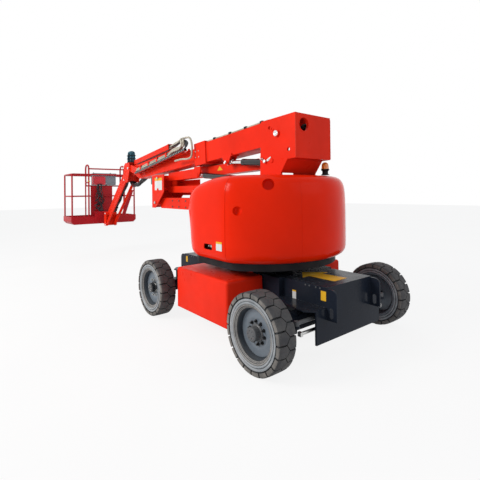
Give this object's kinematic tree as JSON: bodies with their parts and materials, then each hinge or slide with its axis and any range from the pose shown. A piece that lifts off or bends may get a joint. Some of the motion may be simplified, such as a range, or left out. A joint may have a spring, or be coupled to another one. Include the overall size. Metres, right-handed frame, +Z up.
{
  "type": "articulating boom lift",
  "caption": "Self-propelled electric articulating boom lift: folding riser arms, telescopic boom, jib and railed platform on a slewing turret over a four-wheel chassis.",
  "frame": {"origin": "on the ground, at mid-length and mid-width of the whole machine", "axes": "+X towards the platform, +Y to the left side, +Z up"},
  "size_m": [8.11, 2.142, 2.5303],
  "materials": {
    "red_paint": "gloss",
    "basket_red": "gloss",
    "chassis_grey": "satin",
    "grey_paint": "satin",
    "black_paint": "gloss",
    "rim_silver": "satin",
    "bare_steel": "satin",
    "chrome": "polished",
    "cast_iron": "matte",
    "tyre": "matte",
    "amber": "gloss",
    "grey_plastic": "matte",
    "pale_plastic": "matte",
    "black_rubber": "matte",
    "teal_rubber": "matte"
  },
  "bodies": {
    "chassis": {"chassis_frame": "chassis_grey", "battery_boxes": "red_paint", "axle_front": "chassis_grey", "axle_rear": "chassis_grey", "slew_ring": "bare_steel", "steer_barrel": "black_paint"},
    "wheel_front_left": {"rim_front_left": "rim_silver", "tyre_front_left": "tyre"},
    "wheel_front_right": {"rim_front_right": "rim_silver", "tyre_front_right": "tyre"},
    "knuckle_left": {"knuckle_left": "chassis_grey"},
    "knuckle_right": {"knuckle_right": "chassis_grey"},
    "wheel_rear_left": {"rim_rear_left": "rim_silver", "tyre_rear_left": "tyre"},
    "wheel_rear_right": {"rim_rear_right": "rim_silver", "tyre_rear_right": "tyre"},
    "tie_rod": {"tie_rod": "bare_steel"},
    "steer_rod": {"steer_rod": "chrome"},
    "turret": {"turntable": "chassis_grey", "hood_rear_left": "red_paint", "hood_rear_right": "red_paint", "hood_rear_centre": "red_paint", "counterweight": "cast_iron", "power_unit": "grey_paint", "oil_tank": "grey_paint", "beacon": "amber"},
    "door_left": {"door_left": "red_paint"},
    "door_right": {"door_right": "red_paint"},
    "lower_arm": {"lower_arm": "red_paint"},
    "lower_link": {"lower_link": "red_paint"},
    "mid_bracket": {"mid_bracket": "red_paint"},
    "upper_arm": {"upper_arm": "red_paint"},
    "upper_link": {"upper_link": "red_paint"},
    "riser_barrel": {"riser_barrel": "black_paint"},
    "riser_rod": {"riser_rod": "chrome"},
    "tower_head": {"tower_head": "red_paint"},
    "lift_barrel": {"lift_barrel": "black_paint"},
    "lift_rod": {"lift_rod": "chrome"},
    "boom_outer": {"boom_outer": "red_paint", "lift_bracket": "red_paint"},
    "boom_fly": {"boom_fly": "red_paint", "hose_tube": "red_paint", "cable_tray": "red_paint", "cable_chain": "black_rubber", "conduits": "pale_plastic"},
    "jib_head": {"jib_head": "red_paint", "knuckle_hoses": "teal_rubber"},
    "jib_arm": {"jib_arm": "red_paint", "jib_hoses": "black_rubber"},
    "jib_link": {"jib_link": "red_paint"},
    "platform_bracket": {"platform_bracket": "basket_red"},
    "basket": {"basket_mount": "basket_red", "basket_floor": "basket_red", "rails_left": "basket_red", "rails_right": "basket_red", "rails_front": "basket_red", "rails_rear": "basket_red", "control_box": "grey_plastic", "basket_panel": "basket_red"}
  },
  "joints": [
    {"name": "wheel_front_left_spin", "type": "hinge", "parent": "chassis", "child": "wheel_front_left", "pos_m": [-1.621, 0.965, 0.36], "axis": [0, 1, 0], "continuous": true},
    {"name": "wheel_front_right_spin", "type": "hinge", "parent": "chassis", "child": "wheel_front_right", "pos_m": [-1.621, -0.965, 0.36], "axis": [0, 1, 0], "continuous": true},
    {"name": "steer", "type": "hinge", "parent": "chassis", "child": "knuckle_left", "pos_m": [-3.669, 0.7, 0.36], "axis": [0, 0, 1], "range_deg": [-30, 30]},
    {"name": "steer_right", "type": "hinge", "parent": "chassis", "child": "knuckle_right", "pos_m": [-3.669, -0.7, 0.36], "axis": [0, 0, 1], "range_deg": [-30, 30]},
    {"name": "wheel_rear_left_spin", "type": "hinge", "parent": "knuckle_left", "child": "wheel_rear_left", "pos_m": [-3.669, 0.965, 0.36], "axis": [0, 1, 0], "continuous": true},
    {"name": "wheel_rear_right_spin", "type": "hinge", "parent": "knuckle_right", "child": "wheel_rear_right", "pos_m": [-3.669, -0.965, 0.36], "axis": [0, 1, 0], "continuous": true},
    {"name": "tie_rod_pivot", "type": "hinge", "parent": "knuckle_left", "child": "tie_rod", "pos_m": [-3.869, 0.7, 0.38], "axis": [0, 0, 1], "range_deg": [-30, 30]},
    {"name": "steer_rod_slide", "type": "slide", "parent": "chassis", "child": "steer_rod", "axis": [0, -1, 0], "range_m": [-0.11, 0.11]},
    {"name": "slew", "type": "hinge", "parent": "chassis", "child": "turret", "pos_m": [-2.645, 0, 0.7], "axis": [0, 0, 1], "range_deg": [-180, 180]},
    {"name": "door_left_hinge", "type": "hinge", "parent": "turret", "child": "door_left", "pos_m": [-3.09514, 0.932, 0.862], "axis": [0, 0, 1], "range_deg": [0, 100]},
    {"name": "door_right_hinge", "type": "hinge", "parent": "turret", "child": "door_right", "pos_m": [-3.09514, -0.932, 0.862], "axis": [0, 0, -1], "range_deg": [0, 100]},
    {"name": "riser_lift", "type": "hinge", "parent": "turret", "child": "lower_arm", "pos_m": [-3.095, 0, 1.42], "axis": [0, -1, 0], "range_deg": [0, 33]},
    {"name": "lower_link_pivot", "type": "hinge", "parent": "turret", "child": "lower_link", "pos_m": [-3.195, 0, 1.65], "axis": [0, -1, 0], "range_deg": [0, 33]},
    {"name": "mid_bracket_pivot", "type": "hinge", "parent": "lower_arm", "child": "mid_bracket", "pos_m": [-0.045, 0, 1.435], "axis": [0, -1, 0], "range_deg": [-33, 0]},
    {"name": "upper_arm_pivot", "type": "hinge", "parent": "mid_bracket", "child": "upper_arm", "pos_m": [-0.145, 0, 1.87], "axis": [0, -1, 0], "range_deg": [-33, 0]},
    {"name": "upper_link_pivot", "type": "hinge", "parent": "mid_bracket", "child": "upper_link", "pos_m": [-0.117, 0, 1.94], "axis": [0, -1, 0], "range_deg": [-33, 0]},
    {"name": "tower_head_pivot", "type": "hinge", "parent": "upper_arm", "child": "tower_head", "pos_m": [-3.145, 0, 1.95], "axis": [0, -1, 0], "range_deg": [0, 33]},
    {"name": "riser_barrel_pivot", "type": "hinge", "parent": "lower_arm", "child": "riser_barrel", "pos_m": [-2.945, 0.1, 1.72], "axis": [0, -1, 0], "range_deg": [0, 21.8]},
    {"name": "riser_rod_slide", "type": "slide", "parent": "riser_barrel", "child": "riser_rod", "axis": [0.9955, 0, 0.0951], "range_m": [0, 1.2707]},
    {"name": "boom_lift", "type": "hinge", "parent": "tower_head", "child": "boom_outer", "pos_m": [-3.237, 0, 2.24], "axis": [0, -1, 0], "range_deg": [0, 75]},
    {"name": "lift_barrel_pivot", "type": "hinge", "parent": "tower_head", "child": "lift_barrel", "pos_m": [-3.047, 0.1, 1.946], "axis": [0, -1, 0], "range_deg": [0, 73.2]},
    {"name": "lift_rod_slide", "type": "slide", "parent": "lift_barrel", "child": "lift_rod", "axis": [0.9972, 0, 0.0742], "range_m": [0, 0.4247]},
    {"name": "telescope", "type": "slide", "parent": "boom_outer", "child": "boom_fly", "axis": [0.9973, 0, -0.0732], "range_m": [0, 1.2]},
    {"name": "jib_head_level", "type": "hinge", "parent": "boom_fly", "child": "jib_head", "pos_m": [1.405, 0, 2.14], "axis": [0, -1, 0], "range_deg": [-75, 0]},
    {"name": "jib_lift", "type": "hinge", "parent": "jib_head", "child": "jib_arm", "pos_m": [1.635, 0, 2.16], "axis": [0, -1, 0], "range_deg": [-20, 105]},
    {"name": "jib_link_pivot", "type": "hinge", "parent": "jib_head", "child": "jib_link", "pos_m": [1.635, 0, 1.9], "axis": [0, -1, 0], "range_deg": [-20, 105]},
    {"name": "platform_level", "type": "hinge", "parent": "jib_arm", "child": "platform_bracket", "pos_m": [2.875, 0, 1.12], "axis": [0, -1, 0], "range_deg": [-105, 20]},
    {"name": "platform_rotate", "type": "hinge", "parent": "platform_bracket", "child": "basket", "pos_m": [3.08, 0, 0.88], "axis": [0, 0, 1], "range_deg": [-80, 80]}
  ],
  "couplings": [
    {"joint": "steer_right", "follows": "steer", "ratio": 1},
    {"joint": "tie_rod_pivot", "follows": "steer", "ratio": -1},
    {"joint": "steer_rod_slide", "follows": "steer", "m_per_rad": 0.193},
    {"joint": "lower_link_pivot", "follows": "riser_lift", "ratio": 1},
    {"joint": "mid_bracket_pivot", "follows": "riser_lift", "ratio": -1},
    {"joint": "upper_arm_pivot", "follows": "riser_lift", "ratio": -1},
    {"joint": "upper_link_pivot", "follows": "riser_lift", "ratio": -1},
    {"joint": "tower_head_pivot", "follows": "riser_lift", "ratio": 1},
    {"joint": "riser_barrel_pivot", "follows": "riser_lift", "ratio": 0.62956},
    {"joint": "riser_rod_slide", "follows": "riser_lift", "m_per_rad": 2.2028},
    {"joint": "lift_barrel_pivot", "follows": "boom_lift", "ratio": 0.9628},
    {"joint": "lift_rod_slide", "follows": "boom_lift", "m_per_rad": 0.32291},
    {"joint": "jib_head_level", "follows": "boom_lift", "ratio": -1},
    {"joint": "jib_link_pivot", "follows": "jib_lift", "ratio": 1},
    {"joint": "platform_level", "follows": "jib_lift", "ratio": -1}
  ]
}
